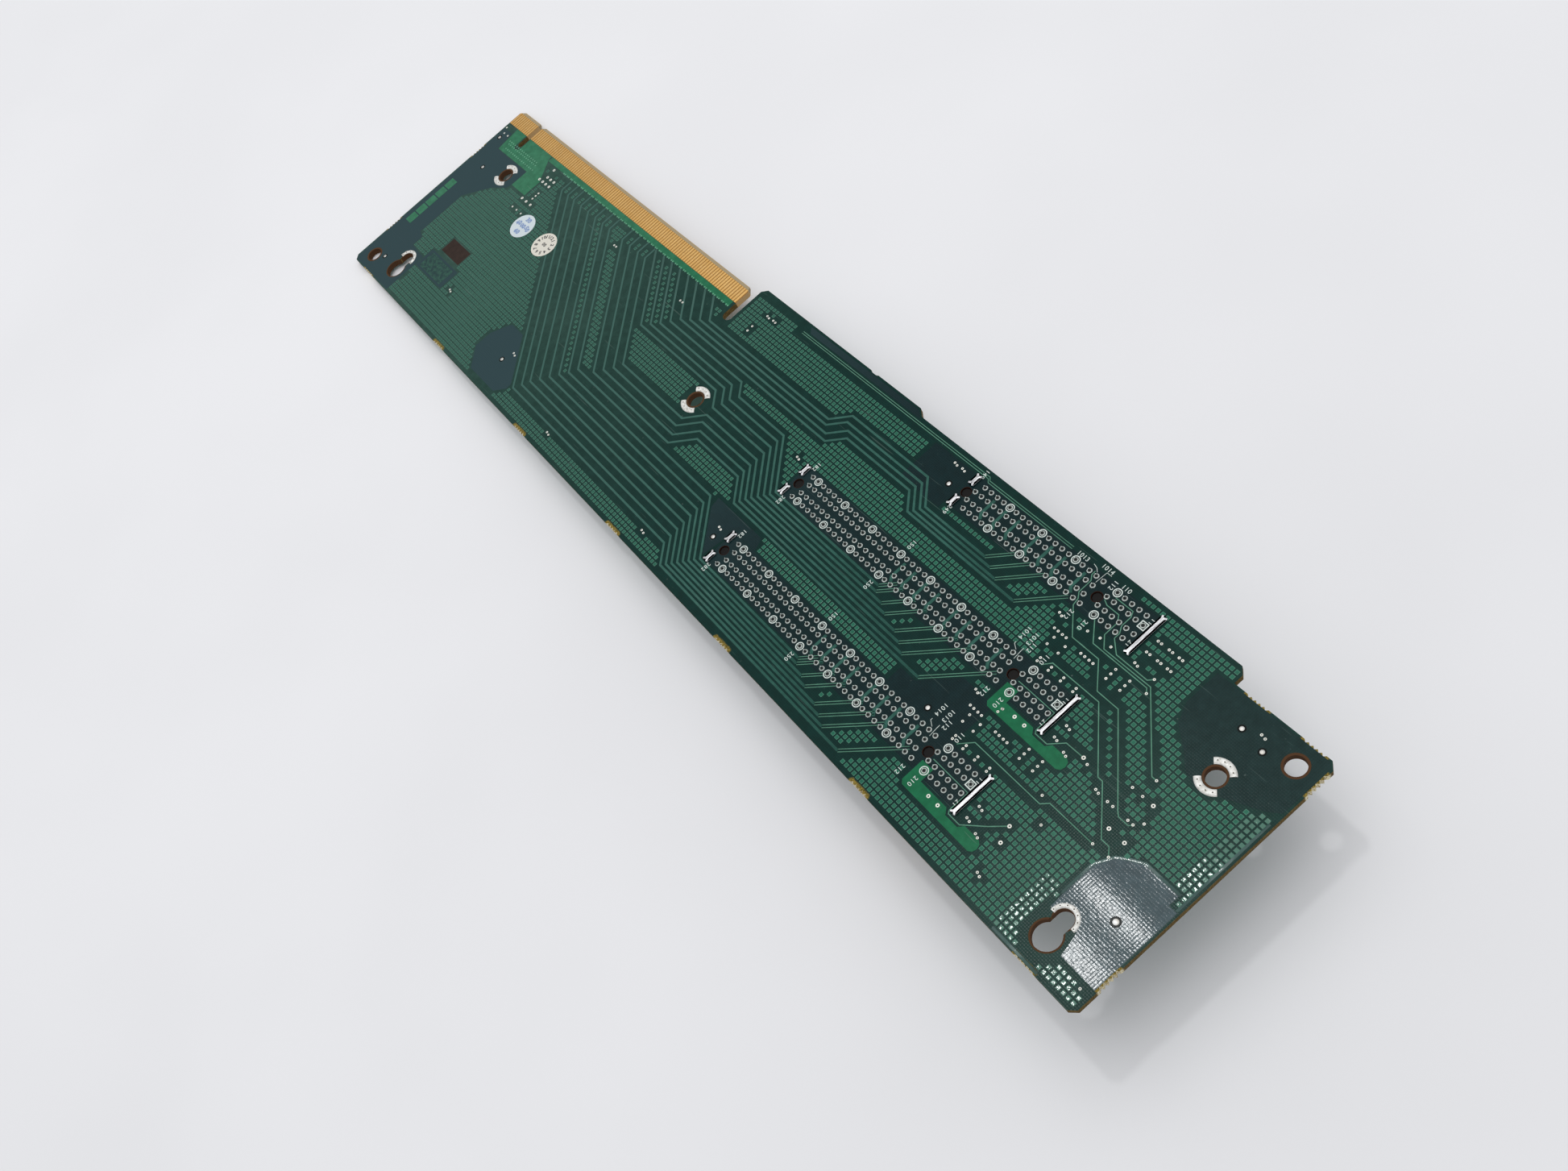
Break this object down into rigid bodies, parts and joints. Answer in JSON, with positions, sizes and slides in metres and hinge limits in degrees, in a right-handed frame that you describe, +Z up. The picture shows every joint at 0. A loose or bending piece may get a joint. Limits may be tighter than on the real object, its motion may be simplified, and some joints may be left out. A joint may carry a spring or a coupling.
{
  "type": "riser card",
  "caption": "Long green circuit board with a keyed gold edge tongue, black card slots on the far side, staggered solder joints, screw holes and keyholes.",
  "frame": {"origin": "middle of the board's length and width, level with the mouths of the card slots, on which the card lies with its solder side up", "axes": "+X along the board towards contact 1 of every slot and the stepped end, +Y towards the gold edge, +Z up out of the solder side"},
  "size_m": [0.31, 0.0694, 0.0137],
  "materials": {
    "green_laminate": "glossy solder mask over glass laminate",
    "gold": "plated, satin",
    "solder": "reflowed solder, semi-bright",
    "black_plastic": "moulded, fine matte",
    "white_paper": "coated paper label",
    "cream_paper": "coated paper label",
    "capacitor_resin": "moulded epoxy with tinned ends",
    "capacitor_ceramic": "fired ceramic with tinned ends"
  },
  "bodies": {
    "root": {"printed_circuit_board": "green_laminate", "edge_fingers_solder_side": "gold", "edge_fingers_component_side": "gold", "left_screw_hole_pads": "solder", "middle_screw_hole_pads": "solder", "right_screw_hole_pads": "solder", "left_keyhole_pads": "solder", "right_keyhole_pads": "solder", "white_sticker": "white_paper", "cream_sticker": "cream_paper", "slot_1_housing": "black_plastic", "slot_1_contacts_a": "gold", "slot_1_contacts_b": "gold", "slot_1_solder_joints": "solder", "slot_1_solder_bars": "solder", "slot_1_bulk_capacitor": "capacitor_resin", "slot_1_ceramic_capacitor": "capacitor_ceramic", "slot_2_housing": "black_plastic", "slot_2_contacts_a": "gold", "slot_2_contacts_b": "gold", "slot_2_solder_joints": "solder", "slot_2_solder_bars": "solder", "slot_2_bulk_capacitor": "capacitor_resin", "slot_2_ceramic_capacitor": "capacitor_ceramic", "slot_3_housing": "black_plastic", "slot_3_contacts_a": "gold", "slot_3_contacts_b": "gold", "slot_3_solder_joints": "solder", "slot_3_solder_bars": "solder", "slot_3_bulk_capacitor": "capacitor_resin", "slot_3_ceramic_capacitor": "capacitor_ceramic"}
  },
  "joints": []
}
